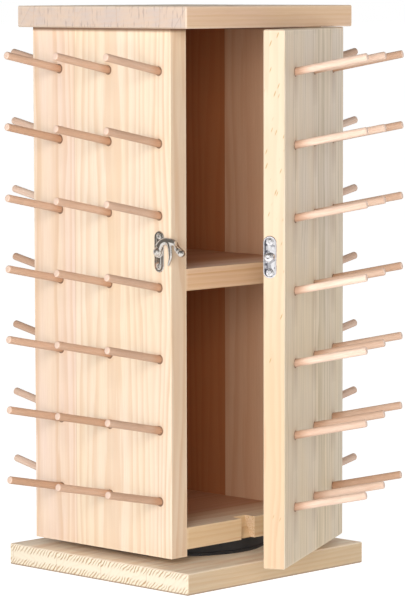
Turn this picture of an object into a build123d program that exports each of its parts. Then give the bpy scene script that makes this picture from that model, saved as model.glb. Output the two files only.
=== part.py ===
from build123d import *
from math import cos, radians, sin
import os

# Turning tower cabinet with pegs: a pine box on a ball-race turntable, with one hinged door.
# Millimetres, +Z up. The origin lies on the floor, on the axis of the turntable. The door
# side of the cabinet faces -Y, and the latch side faces -X. The door is drawn ajar and the
# latch hook half raised. Each board, plate, peg set and fastener is a piece of its own.

os.makedirs("parts", exist_ok=True)

# ---------------------------------------------------------------- driving dimensions, mm
board_t = 18.0  # every board is planed to this thickness
base_size = 214.0  # square base board
top_size = 200.0  # square top board
body_size = 182.0  # square cabinet, over the side panels
bay_height = 196.5  # clear height of each of the two compartments
panel_drop = 6.0  # the upright panels hang this far below the bottom board
edge_break = 0.9  # the arris taken off the edges of base, top and door
panel_edge_break = 0.5  # and off the outer upright edges of the side panels
board_fit = 0.5  # running gap round the door

peg_d = 6.5
peg_reach = 61.0  # free length outside the wood
peg_tilt = 11.5  # degrees above level
peg_seat_depth = 12.0
peg_fit = 0.3  # glue gap round the seated end
peg_end_break = 0.7  # the softened rim at the free end
peg_rows = 7
peg_columns = 3
row_pitch = 59.0
column_pitch = 59.0
top_row_drop = 34.5  # from the underside of the top board to the highest row of pegs

notch_width = 16.0  # finger scoop in the front edge of the bottom board
notch_depth_top = 11.0
notch_depth_foot = 4.0
notch_sweep = 36.0  # radius of the hollow that the scoop is cut to
notch_mouth = 1.0  # the cutter starts this far in front of the board

dowel_d = 6.0
dowel_in_panel = 12.0  # bite in the face of a panel
dowel_in_edge = 18.0  # bite in the edge of the board that meets it
dowel_room = 1.0  # glue room at each end
dowel_fit = 0.05
dowel_spread = 60.0  # between the two dowels of one joint
back_dowel_rise = 295.0  # between the two dowels on each side of the back panel
back_dowel_foot = 76.0  # from the foot of the back panel to its lower dowel

turntable_d = 135.0
turntable_height = 12.0
turntable_plate_t = 2.5
turntable_gap = 0.4  # between the skirt and the lower plate
race_radius = 52.0
ball_d = 8.0
ball_fit = 0.1
ball_count = 10
cage_t = 2.0
cage_width = 13.0
skirt_t = 2.0
dish_radius = 14.0  # the plates are dished towards each other round the rivet
dish_slope = 4.2  # run of the sloping ring round the dish
dish_depth = 3.2
rivet_d = 8.0
rivet_head_d = 15.0
rivet_head_t = 1.6
rivet_fit = 0.06
plate_screw_radius = 33.0
plate_screw_count = 4
access_hole_d = 14.0  # way for the driver to the upper plate's screws

screw_d = 3.0
screw_head_d = 5.6
screw_length = 13.0
plate_screw_d = 4.0
plate_screw_head_d = 7.6
plate_screw_length = 14.0

hinge_length = 40.0
hinge_leaf_width = 14.5
hinge_leaf_t = 1.0
knuckle_d = 4.4
knuckle_gap = 0.4
hinge_pin_d = 2.2
hinge_pin_fit = 0.06
hinge_pin_head_d = 3.8
hinge_pin_head_t = 1.0
hinge_pin_head_taper = 20.0  # degrees
hinge_out = 2.35  # the pin's axis stands this far out from the side of the cabinet
hinge_screw_spread = 26.0
hinge_screw_setback = 9.0  # from the pin's line
door_open = 27.0  # degrees, as drawn

latch_setback = 13.0  # pivot to the front edge of the left panel
catch_reach = 19.0  # pivot to the post of the catch, door shut
latch_plate_length = 34.0
latch_plate_width = 11.0
latch_plate_t = 1.0
latch_plate_break = 0.5  # bevel round the upper face of the latch and catch plates
latch_rib_width = 5.0
latch_rib_rise = 0.4  # above the latch plate
catch_plate_width = 9.6
catch_rim = 1.1  # left standing round the catch plate's hollow
catch_hollow = 0.55
catch_rib_width = 3.6
catch_boss_d = 6.2
latch_screw_spread = 25.0
latch_screw_d = 2.4
latch_screw_head_d = 4.8
latch_screw_dome = 0.5
latch_screw_length = 10.0
hook_t = 2.0
hook_height = 1.7  # underside of the hook above the wood
hook_boss_d = 8.6
hook_rivet_d = 3.0
hook_rivet_head_d = 6.8
hook_rivet_dome = 1.8
hook_fit = 0.06
hook_lift = 12.0  # degrees above the locked position, as drawn
post_d = 3.0
post_head_d = 6.8
post_head_t = 1.1
post_head_taper = 30.0  # degrees
post_head_room = 0.3  # between the hook and the head of the post
slot_room = 0.45  # between the fork of the hook and the post

# the hook's outline when it is locked: x runs from the pivot to the post, y is up
arm_root_x = -3.0
arm_root_y = 2.8
arm_radius = 14.5
shoulder_x = 15.4
shoulder_y = 8.2
nose_radius = 13.0
nose_x = 26.2
nose_y = 1.2
jaw_x = 24.6
jaw_y = -1.6
claw_tip_x = 8.2
claw_tip_y = -14.9
claw_inner_radius = 24.0
claw_tip_radius = 0.6
crook_far_x = 12.8
crook_far_y = 2.0
crook_top_x = 11.0
crook_top_y = 4.6
crook_near_x = 8.0
crook_near_y = 3.6
heel_x = 3.0
heel_y = -2.0

# the lever stands on the hook's nose and ends in a ball, which clears the post's head
lever_x = 25.0
lever_y = 1.5
lever_rise = 5.5  # from the underside of the hook to the lever's bend
lever_neck_d = 3.6
lever_mouth_d = 4.4  # where the horn meets the ball
ball_x = 31.4
ball_y = -6.3
ball_rise = 6.2
hook_ball_d = 5.6

# ---------------------------------------------------------------- levels and faces
half = body_size / 2
inner = half - board_t
base_top = board_t
bottom_z = base_top + turntable_height
lower_bay_z = bottom_z + board_t
shelf_z = lower_bay_z + bay_height
upper_bay_z = shelf_z + board_t
top_z = upper_bay_z + bay_height
panel_z = bottom_z - panel_drop
panel_height = top_z - panel_z
bay_size = 2 * inner
panel_depth = body_size - board_t

door_back = -inner - board_fit
door_front = door_back - board_t
door_z = panel_z
door_height = top_z - board_fit - door_z

row_levels = [top_z - top_row_drop - i * row_pitch for i in range(peg_rows)]
column_offsets = [(i - (peg_columns - 1) / 2) * column_pitch for i in range(peg_columns)]

hinge_x = half + hinge_out
door_swing = Pos(hinge_x, -inner, 0) * Rot(0, 0, door_open) * Pos(-hinge_x, inner, 0)


def swung(plane):
    """The plane that a plane of the shut door becomes with the door ajar."""
    return Plane(door_swing * plane.location)


def wall(x, y, outward):
    """An upright plane at (x, y), at floor level, that looks outward, with its own y up."""
    return Plane(origin=(x, y, 0), x_dir=Vector(0, 0, 1).cross(Vector(*outward)), z_dir=outward)


left_wall = wall(-half, 0, (-1, 0, 0))
right_wall = wall(half, 0, (1, 0, 0))
back_wall = wall(0, half, (0, 1, 0))
door_wall = swung(wall(0, door_front, (0, -1, 0)))


def peg_planes(face, along=0.0):
    """One plane for each peg of a face, square to the tilted peg, a distance along it."""
    up = Vector(0, 0, 1)
    lean = face.z_dir * cos(radians(peg_tilt)) + up * sin(radians(peg_tilt))
    return [
        Plane(origin=face.from_local_coords(Vector(x, z, 0)), x_dir=face.x_dir, z_dir=lean).offset(along)
        for z in row_levels
        for x in column_offsets
    ]


def dome_radius(rim, rise):
    """Radius of the ball that a dome of this rim radius and rise is cut from."""
    return (rim**2 + rise**2) / (2 * rise)


def screws(planes, shank, head, length, dome=0.0):
    """Equal countersunk screws, each with the rim of its head on a plane and driven against its normal."""
    with BuildPart() as one:
        with BuildSketch(Plane.XZ):
            with BuildLine():
                rim = (head / 2, 0)
                Polyline(
                    (0, dome),
                    (0, -length),
                    (shank / 2, shank - length),
                    (shank / 2, (shank - head) / 2),
                    rim,
                )
                if dome:
                    RadiusArc(rim, (0, dome), -dome_radius(head / 2, dome))
                else:
                    Line(rim, (0, 0))
            make_face()
        revolve(axis=Axis.Z)
    with BuildPart() as group:
        with Locations(*planes):
            add(one.part)
    return group.part


def dowels(planes, fit=0.0, room=0.0):
    """Dowels across joints: each plane lies on a joint and looks into the panel's face."""
    with BuildPart() as group:
        with BuildSketch(*[plane.offset(-dowel_in_edge - room) for plane in planes]):
            Circle(dowel_d / 2 + fit)
        extrude(amount=dowel_in_edge + dowel_in_panel + 2 * room)
    return group.part


def knuckles(level, mine, radius, grow=0.0):
    """The lengths of hinge barrel at a level that belong to one leaf: the middle third or the others."""
    third = hinge_length / 3
    starts = [third] if mine == "middle" else [0, 2 * third]
    with BuildPart() as group:
        for start in starts:
            low = level - hinge_length / 2 + start + knuckle_gap / 2 - grow
            with BuildSketch(Plane.XY.offset(low)):
                with Locations((hinge_x, -inner)):
                    Circle(radius)
            extrude(amount=third - knuckle_gap + 2 * grow)
    return group.part


# ---------------------------------------------------------------- where the fasteners go
plate_screw_angles = [360 * i / plate_screw_count for i in range(plate_screw_count)]
lower_plate_z = base_top + turntable_plate_t
upper_plate_z = bottom_z - turntable_plate_t
race_z = base_top + turntable_height / 2
around = [
    (plate_screw_radius * cos(radians(a)), plate_screw_radius * sin(radians(a)))
    for a in plate_screw_angles
]
lower_screw_planes = [Plane(origin=(x, y, lower_plate_z), z_dir=(0, 0, 1)) for x, y in around]
upper_screw_planes = [Plane(origin=(x, y, upper_plate_z), z_dir=(0, 0, -1)) for x, y in around]
access_angle = radians(180 / plate_screw_count)
access_spot = (plate_screw_radius * cos(access_angle), plate_screw_radius * sin(access_angle))

lower_plate_screw_set = screws(
    lower_screw_planes, plate_screw_d, plate_screw_head_d, plate_screw_length
)
upper_plate_screw_set = screws(
    upper_screw_planes, plate_screw_d, plate_screw_head_d, plate_screw_length
)

hinge_levels = [(row_levels[0] + row_levels[1]) / 2, (row_levels[-1] + row_levels[-2]) / 2]
hinge_screw_spots = [
    (hinge_screw_setback, level + side * hinge_screw_spread / 2)
    for level in hinge_levels
    for side in (-1, 1)
]
leaf_face_x = half + hinge_leaf_t
cabinet_hinge_planes = [
    Plane(origin=(leaf_face_x, -inner + y, z), z_dir=(1, 0, 0)) for y, z in hinge_screw_spots
]
door_hinge_planes = [
    swung(Plane(origin=(leaf_face_x, -inner - y, z), z_dir=(1, 0, 0)))
    for y, z in hinge_screw_spots
]
cabinet_hinge_screw_set = screws(cabinet_hinge_planes, screw_d, screw_head_d, screw_length)
door_hinge_screw_set = screws(door_hinge_planes, screw_d, screw_head_d, screw_length)

middle_row = peg_rows // 2
latch_z = (row_levels[middle_row - 1] + row_levels[middle_row]) / 2
pivot_y = -inner + latch_setback
latch_plane = Plane(origin=(-half, pivot_y, latch_z), x_dir=(0, -1, 0), z_dir=(-1, 0, 0))
hook_plane = Plane(latch_plane.location * Rot(0, 0, hook_lift))
catch_plane = swung(Plane(latch_plane.location * Pos(catch_reach, 0, 0)))


def plate_screw_planes(plane):
    """The two screw places of a latch or catch plate that lies on the plane."""
    return [
        Plane(plane.location * Pos(0, side * latch_screw_spread / 2, latch_plate_t))
        for side in (-1, 1)
    ]


latch_screw_set = screws(
    plate_screw_planes(latch_plane),
    latch_screw_d,
    latch_screw_head_d,
    latch_screw_length,
    latch_screw_dome,
)
catch_screw_set = screws(
    plate_screw_planes(catch_plane),
    latch_screw_d,
    latch_screw_head_d,
    latch_screw_length,
    latch_screw_dome,
)

spreads = (-dowel_spread / 2, dowel_spread / 2)
shelf_mid = shelf_z + board_t / 2
bottom_mid = bottom_z + board_t / 2
board_mid = half - board_t / 2
back_dowel_levels = [panel_z + back_dowel_foot + i * back_dowel_rise for i in range(2)]


def side_joints(level):
    """Joint planes between a level board and both side panels."""
    return [
        Plane(origin=(side * inner, y, level), z_dir=(side, 0, 0))
        for side in (-1, 1)
        for y in spreads
    ]


shelf_joints = side_joints(shelf_mid)
bottom_joints = side_joints(bottom_mid)
top_joints = [
    Plane(origin=(side * board_mid, y, top_z), z_dir=(0, 0, 1)) for side in (-1, 1) for y in spreads
]
back_joints = [
    Plane(origin=(side * inner, board_mid, z), z_dir=(side, 0, 0))
    for side in (-1, 1)
    for z in back_dowel_levels
]
shelf_dowel_holes = dowels(shelf_joints, dowel_fit, dowel_room)
bottom_dowel_holes = dowels(bottom_joints, dowel_fit, dowel_room)
top_dowel_holes = dowels(top_joints, dowel_fit, dowel_room)
back_dowel_holes = dowels(back_joints, dowel_fit, dowel_room)

# ---------------------------------------------------------------- base and turntable
with BuildPart() as base_board:
    with BuildSketch():
        Rectangle(base_size, base_size)
    extrude(amount=board_t)
    chamfer(base_board.edges(), edge_break)
    with BuildSketch(Plane.XY.offset(base_top)):
        with Locations(access_spot):
            Circle(access_hole_d / 2)
    extrude(amount=-board_t, mode=Mode.SUBTRACT)
    add(lower_plate_screw_set, mode=Mode.SUBTRACT)

groove_r = ball_d / 2 + ball_fit
groove_half = (groove_r**2 - (race_z - lower_plate_z) ** 2) ** 0.5
dish_rim = dish_radius + dish_slope
plate_r = turntable_d / 2

with BuildPart() as turntable_lower_plate:
    with BuildSketch(Plane.XZ):
        with BuildLine():
            Polyline(
                (race_radius - groove_half, lower_plate_z),
                (dish_rim, lower_plate_z),
                (dish_radius, lower_plate_z + dish_depth),
                (rivet_d / 2, lower_plate_z + dish_depth),
                (rivet_d / 2, base_top + dish_depth),
                (dish_radius, base_top + dish_depth),
                (dish_rim, base_top),
                (plate_r, base_top),
                (plate_r, lower_plate_z),
                (race_radius + groove_half, lower_plate_z),
            )
            ThreePointArc(
                (race_radius + groove_half, lower_plate_z),
                (race_radius, race_z - groove_r),
                (race_radius - groove_half, lower_plate_z),
            )
        make_face()
    revolve(axis=Axis.Z)
    with BuildSketch(Plane.XY.offset(base_top)):
        with Locations(access_spot):
            Circle(access_hole_d / 2)
    extrude(amount=turntable_plate_t, mode=Mode.SUBTRACT)
    add(lower_plate_screw_set, mode=Mode.SUBTRACT)

with BuildPart() as turntable_upper_plate:
    with BuildSketch(Plane.XZ):
        with BuildLine():
            Polyline(
                (race_radius + groove_half, upper_plate_z),
                (plate_r - skirt_t, upper_plate_z),
                (plate_r - skirt_t, lower_plate_z + turntable_gap),
                (plate_r, lower_plate_z + turntable_gap),
                (plate_r, bottom_z),
                (dish_rim, bottom_z),
                (dish_radius, bottom_z - dish_depth),
                (rivet_d / 2 + rivet_fit, bottom_z - dish_depth),
                (rivet_d / 2 + rivet_fit, upper_plate_z - dish_depth),
                (dish_radius, upper_plate_z - dish_depth),
                (dish_rim, upper_plate_z),
                (race_radius - groove_half, upper_plate_z),
            )
            ThreePointArc(
                (race_radius - groove_half, upper_plate_z),
                (race_radius, race_z + groove_r),
                (race_radius + groove_half, upper_plate_z),
            )
        make_face()
    revolve(axis=Axis.Z)
    add(upper_plate_screw_set, mode=Mode.SUBTRACT)

lower_seat_z = base_top + dish_depth
upper_seat_z = bottom_z - dish_depth + rivet_fit
with BuildPart() as turntable_rivet:
    with BuildSketch(Plane.XY.offset(lower_seat_z - rivet_head_t)):
        Circle(rivet_head_d / 2)
    extrude(amount=rivet_head_t)
    with BuildSketch(Plane.XY.offset(lower_seat_z)):
        Circle(rivet_d / 2)
    extrude(amount=upper_seat_z - lower_seat_z)
    with BuildSketch(Plane.XY.offset(upper_seat_z)):
        Circle(rivet_head_d / 2)
    extrude(amount=rivet_head_t)

with BuildPart() as turntable_balls:
    with Locations(Plane.XY.offset(race_z)):
        with PolarLocations(race_radius, ball_count):
            Sphere(ball_d / 2)

with BuildPart() as turntable_ball_cage:
    with BuildSketch(Plane.XY.offset(race_z - cage_t / 2)):
        Circle(race_radius + cage_width / 2)
        Circle(race_radius - cage_width / 2, mode=Mode.SUBTRACT)
        with PolarLocations(race_radius, ball_count):
            Circle(ball_d / 2 + ball_fit, mode=Mode.SUBTRACT)
    extrude(amount=cage_t)

# ---------------------------------------------------------------- cabinet boards
with BuildPart() as bottom_board:
    with BuildSketch(Plane.XY.offset(bottom_z)):
        Rectangle(bay_size, bay_size)
    extrude(amount=board_t)
    with BuildSketch(Plane.YZ):
        with BuildLine():
            back_top = (-inner + notch_depth_top, lower_bay_z)
            back_foot = (-inner + notch_depth_foot, bottom_z)
            Polyline(
                back_top,
                (-inner - notch_mouth, lower_bay_z),
                (-inner - notch_mouth, bottom_z),
                back_foot,
            )
            RadiusArc(back_foot, back_top, -notch_sweep)
        make_face()
    extrude(amount=notch_width / 2, both=True, mode=Mode.SUBTRACT)
    add(bottom_dowel_holes, mode=Mode.SUBTRACT)
    add(upper_plate_screw_set, mode=Mode.SUBTRACT)

with BuildPart() as middle_shelf:
    with BuildSketch(Plane.XY.offset(shelf_z)):
        Rectangle(bay_size, bay_size)
    extrude(amount=board_t)
    add(shelf_dowel_holes, mode=Mode.SUBTRACT)

with BuildPart() as top_board:
    with BuildSketch(Plane.XY.offset(top_z)):
        Rectangle(top_size, top_size)
    extrude(amount=board_t)
    chamfer(top_board.edges(), edge_break)
    add(top_dowel_holes, mode=Mode.SUBTRACT)


def seat_planes(face):
    """Planes at the bottoms of the angled peg seats of a face."""
    return peg_planes(face, -peg_seat_depth)


seat_run = 2 * peg_seat_depth
panel_mid_y = half - panel_depth / 2

with BuildPart() as left_panel:
    with BuildSketch(Plane.XY.offset(panel_z)):
        with Locations((-board_mid, panel_mid_y)):
            Rectangle(board_t, panel_depth)
    extrude(amount=panel_height)
    chamfer(left_panel.edges().filter_by(Axis.Z).sort_by(Axis.X)[:2], panel_edge_break)
    with BuildSketch(*seat_planes(left_wall)):
        Circle(peg_d / 2 + peg_fit)
    extrude(amount=seat_run, mode=Mode.SUBTRACT)
    for cutter in (shelf_dowel_holes, bottom_dowel_holes, top_dowel_holes, back_dowel_holes):
        add(cutter, mode=Mode.SUBTRACT)
    add(latch_screw_set, mode=Mode.SUBTRACT)

with BuildPart() as right_panel:
    with BuildSketch(Plane.XY.offset(panel_z)):
        with Locations((board_mid, panel_mid_y)):
            Rectangle(board_t, panel_depth)
    extrude(amount=panel_height)
    chamfer(right_panel.edges().filter_by(Axis.Z).sort_by(Axis.X)[-2:], panel_edge_break)
    with BuildSketch(*seat_planes(right_wall)):
        Circle(peg_d / 2 + peg_fit)
    extrude(amount=seat_run, mode=Mode.SUBTRACT)
    for cutter in (shelf_dowel_holes, bottom_dowel_holes, top_dowel_holes, back_dowel_holes):
        add(cutter, mode=Mode.SUBTRACT)
    add(cabinet_hinge_screw_set, mode=Mode.SUBTRACT)

with BuildPart() as back_panel:
    with BuildSketch(Plane.XY.offset(panel_z)):
        with Locations((0, board_mid)):
            Rectangle(bay_size, board_t)
    extrude(amount=panel_height)
    with BuildSketch(*seat_planes(back_wall)):
        Circle(peg_d / 2 + peg_fit)
    extrude(amount=seat_run, mode=Mode.SUBTRACT)
    add(back_dowel_holes, mode=Mode.SUBTRACT)

with BuildPart() as shelf_dowels:
    add(dowels(shelf_joints))
with BuildPart() as bottom_dowels:
    add(dowels(bottom_joints))
with BuildPart() as top_dowels:
    add(dowels(top_joints))
with BuildPart() as back_dowels:
    add(dowels(back_joints))

# ---------------------------------------------------------------- door board
with BuildPart() as door_panel:
    with BuildSketch(swung(Plane.XY.offset(door_z))):
        with Locations((0, (door_back + door_front) / 2)):
            Rectangle(body_size, board_t)
    extrude(amount=door_height)
    chamfer(door_panel.edges(), edge_break)
    with BuildSketch(*seat_planes(door_wall)):
        Circle(peg_d / 2 + peg_fit)
    extrude(amount=seat_run, mode=Mode.SUBTRACT)
    add(door_hinge_screw_set, mode=Mode.SUBTRACT)
    add(catch_screw_set, mode=Mode.SUBTRACT)


# ---------------------------------------------------------------- pegs
with BuildPart() as one_peg:
    with BuildSketch():
        Circle(peg_d / 2)
    extrude(amount=peg_seat_depth + peg_reach)
    chamfer(one_peg.edges().sort_by(Axis.Z)[-1], peg_end_break)


def peg_set(face):
    """The tilted pegs of one face, glued into their seats, with softened free ends."""
    with BuildPart() as pegs:
        with Locations(*seat_planes(face)):
            add(one_peg.part)
    return pegs.part


with BuildPart() as left_pegs:
    add(peg_set(left_wall))
with BuildPart() as right_pegs:
    add(peg_set(right_wall))
with BuildPart() as back_pegs:
    add(peg_set(back_wall))
with BuildPart() as door_pegs:
    add(peg_set(door_wall))

# ---------------------------------------------------------------- hinges
def cabinet_leaf(level):
    """Leaf on the side panel with the two outer knuckles."""
    with BuildPart() as leaf:
        with BuildSketch(Plane(origin=(half, -inner, level), x_dir=(0, 1, 0), z_dir=(1, 0, 0))):
            with Locations((hinge_leaf_width / 2, 0)):
                Rectangle(hinge_leaf_width, hinge_length)
        extrude(amount=hinge_leaf_t)
        add(knuckles(level, "outer", knuckle_d / 2))
        add(knuckles(level, "middle", knuckle_d / 2 + knuckle_gap, knuckle_gap), mode=Mode.SUBTRACT)
        with BuildSketch(Plane.XY.offset(level - hinge_length / 2)):
            with Locations((hinge_x, -inner)):
                Circle(hinge_pin_d / 2)
        extrude(amount=hinge_length, mode=Mode.SUBTRACT)
        add(cabinet_hinge_screw_set, mode=Mode.SUBTRACT)
    return leaf.part


def door_leaf(level):
    """Leaf on the edge of the door with the middle knuckle."""
    with BuildPart() as leaf:
        with BuildSketch(Plane(origin=(half, -inner, level), x_dir=(0, -1, 0), z_dir=(1, 0, 0))):
            with Locations((hinge_leaf_width / 2, 0)):
                Rectangle(hinge_leaf_width, hinge_length)
        extrude(amount=hinge_leaf_t)
        add(knuckles(level, "middle", knuckle_d / 2))
        add(knuckles(level, "outer", knuckle_d / 2 + knuckle_gap, knuckle_gap), mode=Mode.SUBTRACT)
        with BuildSketch(Plane.XY.offset(level - hinge_length / 2)):
            with Locations((hinge_x, -inner)):
                Circle(hinge_pin_d / 2 + hinge_pin_fit)
        extrude(amount=hinge_length, mode=Mode.SUBTRACT)
    return door_swing * leaf.part


with BuildPart() as upper_hinge_cabinet_leaf:
    add(cabinet_leaf(hinge_levels[0]))
with BuildPart() as lower_hinge_cabinet_leaf:
    add(cabinet_leaf(hinge_levels[1]))
with BuildPart() as upper_hinge_door_leaf:
    add(door_leaf(hinge_levels[0]))
    add(door_hinge_screw_set, mode=Mode.SUBTRACT)
with BuildPart() as lower_hinge_door_leaf:
    add(door_leaf(hinge_levels[1]))
    add(door_hinge_screw_set, mode=Mode.SUBTRACT)

with BuildPart() as hinge_pins:
    for level in hinge_levels:
        with BuildSketch(Plane.XY.offset(level - hinge_length / 2)):
            with Locations((hinge_x, -inner)):
                Circle(hinge_pin_d / 2)
        extrude(amount=hinge_length)
        with BuildSketch(Plane.XY.offset(level + hinge_length / 2)):
            with Locations((hinge_x, -inner)):
                Circle(hinge_pin_head_d / 2)
        extrude(amount=hinge_pin_head_t, taper=hinge_pin_head_taper)

# ---------------------------------------------------------------- latch on the left panel
with BuildPart() as latch_plate:
    with BuildSketch(latch_plane):
        SlotOverall(latch_plate_length, latch_plate_width, rotation=90)
    extrude(amount=latch_plate_t)
    chamfer(latch_plate.faces().sort_by(Axis.X)[0].edges(), latch_plate_break)
    with BuildSketch(latch_plane):
        Rectangle(latch_rib_width, latch_screw_spread)
    extrude(amount=latch_plate_t + latch_rib_rise)
    with BuildSketch(latch_plane.offset(latch_plate_t)):
        with Locations((0, -latch_screw_spread / 2), (0, latch_screw_spread / 2)):
            Circle(latch_screw_head_d / 2)
    extrude(amount=latch_rib_rise, mode=Mode.SUBTRACT)
    with BuildSketch(latch_plane):
        Circle(hook_boss_d / 2)
    extrude(amount=hook_height - hook_fit)
    with BuildSketch(latch_plane):
        Circle(hook_rivet_d / 2)
    extrude(amount=hook_height, mode=Mode.SUBTRACT)
    add(latch_screw_set, mode=Mode.SUBTRACT)

rivet_seat = hook_height + hook_t + hook_fit
with BuildPart() as upright_rivet:
    with BuildSketch(Plane.XZ):
        with BuildLine():
            rivet_rim = hook_rivet_head_d / 2
            Polyline(
                (0, rivet_seat + hook_rivet_dome),
                (0, 0),
                (hook_rivet_d / 2, 0),
                (hook_rivet_d / 2, rivet_seat),
                (rivet_rim, rivet_seat),
            )
            RadiusArc(
                (rivet_rim, rivet_seat),
                (0, rivet_seat + hook_rivet_dome),
                -dome_radius(rivet_rim, hook_rivet_dome),
            )
        make_face()
    revolve(axis=Axis.Z)
with BuildPart() as latch_rivet:
    with Locations(latch_plane):
        add(upright_rivet.part)

slot_r = post_d / 2 + slot_room
slot_near = (catch_reach - slot_r, 0)
slot_far = (catch_reach + slot_r, 0)
arm_root = (arm_root_x, arm_root_y)
shoulder = (shoulder_x, shoulder_y)
nose = (nose_x, nose_y)
jaw = (catch_reach + slot_r, jaw_y)
claw_tip = (claw_tip_x, claw_tip_y)
crook_far = (crook_far_x, crook_far_y)
crook_near = (crook_near_x, crook_near_y)
heel = (heel_x, heel_y)
with BuildPart() as hook_blade:
    with BuildSketch(hook_plane.offset(hook_height)) as hook_outline:
        Circle(hook_boss_d / 2)
        with BuildLine():
            RadiusArc(arm_root, shoulder, arm_radius)
            RadiusArc(shoulder, nose, nose_radius)
            ThreePointArc(nose, (jaw_x, jaw_y), jaw)
            Line(jaw, slot_far)
            ThreePointArc(slot_far, (catch_reach, slot_r), slot_near)
            RadiusArc(slot_near, claw_tip, catch_reach - slot_r)
            RadiusArc(claw_tip, crook_far, -claw_inner_radius)
            ThreePointArc(crook_far, (crook_top_x, crook_top_y), crook_near)
            Polyline(crook_near, heel, arm_root)
        make_face()
        fillet(hook_outline.vertices().sort_by(Axis.Y)[0], claw_tip_radius)
        Circle(hook_rivet_d / 2 + hook_fit, mode=Mode.SUBTRACT)
    extrude(amount=hook_t)

lever_foot = hook_plane.from_local_coords(Vector(lever_x, lever_y, hook_height))
lever_bend = hook_plane.from_local_coords(Vector(lever_x, lever_y, hook_height + lever_rise))
ball_spot = hook_plane.from_local_coords(Vector(ball_x, ball_y, hook_height + ball_rise))
horn_plane = Plane(origin=lever_bend, z_dir=ball_spot - lever_bend)
with BuildPart() as ball_lever:
    with BuildSketch(Plane(origin=lever_foot, z_dir=lever_bend - lever_foot)):
        Circle(lever_neck_d / 2)
    extrude(amount=lever_rise)
    with Locations(lever_bend):
        Sphere(lever_neck_d / 2)
    with BuildSketch(horn_plane):
        Circle(lever_neck_d / 2)
    with BuildSketch(horn_plane.offset((ball_spot - lever_bend).length)):
        Circle(lever_mouth_d / 2)
    loft()
    with Locations(ball_spot):
        Sphere(hook_ball_d / 2)
with BuildPart() as latch_hook:
    add(hook_blade.part)
    add(ball_lever.part)

# ---------------------------------------------------------------- catch on the door's edge
with BuildPart() as catch_plate:
    with BuildSketch(catch_plane):
        SlotOverall(latch_plate_length, catch_plate_width, rotation=90)
    extrude(amount=latch_plate_t)
    catch_outward = Axis(catch_plane.origin, catch_plane.z_dir)
    chamfer(catch_plate.faces().sort_by(catch_outward)[-1].edges(), latch_plate_break)
    with BuildSketch(catch_plane.offset(latch_plate_t - catch_hollow)):
        SlotOverall(latch_plate_length - 2 * catch_rim, catch_plate_width - 2 * catch_rim, rotation=90)
        Rectangle(catch_rib_width, latch_screw_spread, mode=Mode.SUBTRACT)
        with Locations((0, -latch_screw_spread / 2), (0, 0), (0, latch_screw_spread / 2)):
            Circle(catch_boss_d / 2, mode=Mode.SUBTRACT)
    extrude(amount=catch_hollow, mode=Mode.SUBTRACT)
    with BuildSketch(catch_plane):
        Circle(post_d / 2)
    extrude(amount=latch_plate_t, mode=Mode.SUBTRACT)
    add(catch_screw_set, mode=Mode.SUBTRACT)

head_seat = hook_height + hook_t + post_head_room
with BuildPart() as catch_post:
    with BuildSketch(catch_plane):
        Circle(post_d / 2)
    extrude(amount=head_seat)
    with BuildSketch(catch_plane.offset(head_seat)):
        Circle(post_head_d / 2)
    extrude(amount=post_head_t, taper=post_head_taper)

# ---------------------------------------------------------------- names and files
with BuildPart() as turntable_lower_screws:
    add(lower_plate_screw_set)
with BuildPart() as turntable_upper_screws:
    add(upper_plate_screw_set)
with BuildPart() as cabinet_hinge_screws:
    add(cabinet_hinge_screw_set)
with BuildPart() as door_hinge_screws:
    add(door_hinge_screw_set)
with BuildPart() as latch_screws:
    add(latch_screw_set)
with BuildPart() as catch_screws:
    add(catch_screw_set)

pieces = {
    "base_board": base_board,
    "turntable_lower_plate": turntable_lower_plate,
    "turntable_lower_screws": turntable_lower_screws,
    "turntable_rivet": turntable_rivet,
    "turntable_balls": turntable_balls,
    "turntable_ball_cage": turntable_ball_cage,
    "turntable_upper_plate": turntable_upper_plate,
    "turntable_upper_screws": turntable_upper_screws,
    "bottom_board": bottom_board,
    "middle_shelf": middle_shelf,
    "top_board": top_board,
    "left_panel": left_panel,
    "right_panel": right_panel,
    "back_panel": back_panel,
    "shelf_dowels": shelf_dowels,
    "bottom_dowels": bottom_dowels,
    "top_dowels": top_dowels,
    "back_dowels": back_dowels,
    "left_pegs": left_pegs,
    "right_pegs": right_pegs,
    "back_pegs": back_pegs,
    "upper_hinge_cabinet_leaf": upper_hinge_cabinet_leaf,
    "lower_hinge_cabinet_leaf": lower_hinge_cabinet_leaf,
    "hinge_pins": hinge_pins,
    "cabinet_hinge_screws": cabinet_hinge_screws,
    "latch_plate": latch_plate,
    "latch_rivet": latch_rivet,
    "latch_screws": latch_screws,
    "latch_hook": latch_hook,
    "door_panel": door_panel,
    "door_pegs": door_pegs,
    "upper_hinge_door_leaf": upper_hinge_door_leaf,
    "lower_hinge_door_leaf": lower_hinge_door_leaf,
    "door_hinge_screws": door_hinge_screws,
    "catch_plate": catch_plate,
    "catch_post": catch_post,
    "catch_screws": catch_screws,
}
for name, piece in pieces.items():
    piece.part.label = name
    export_step(piece.part, f"parts/{name}.step")
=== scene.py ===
import math
import random

import bmesh
import bpy
from mathutils import Matrix, Vector


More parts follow.
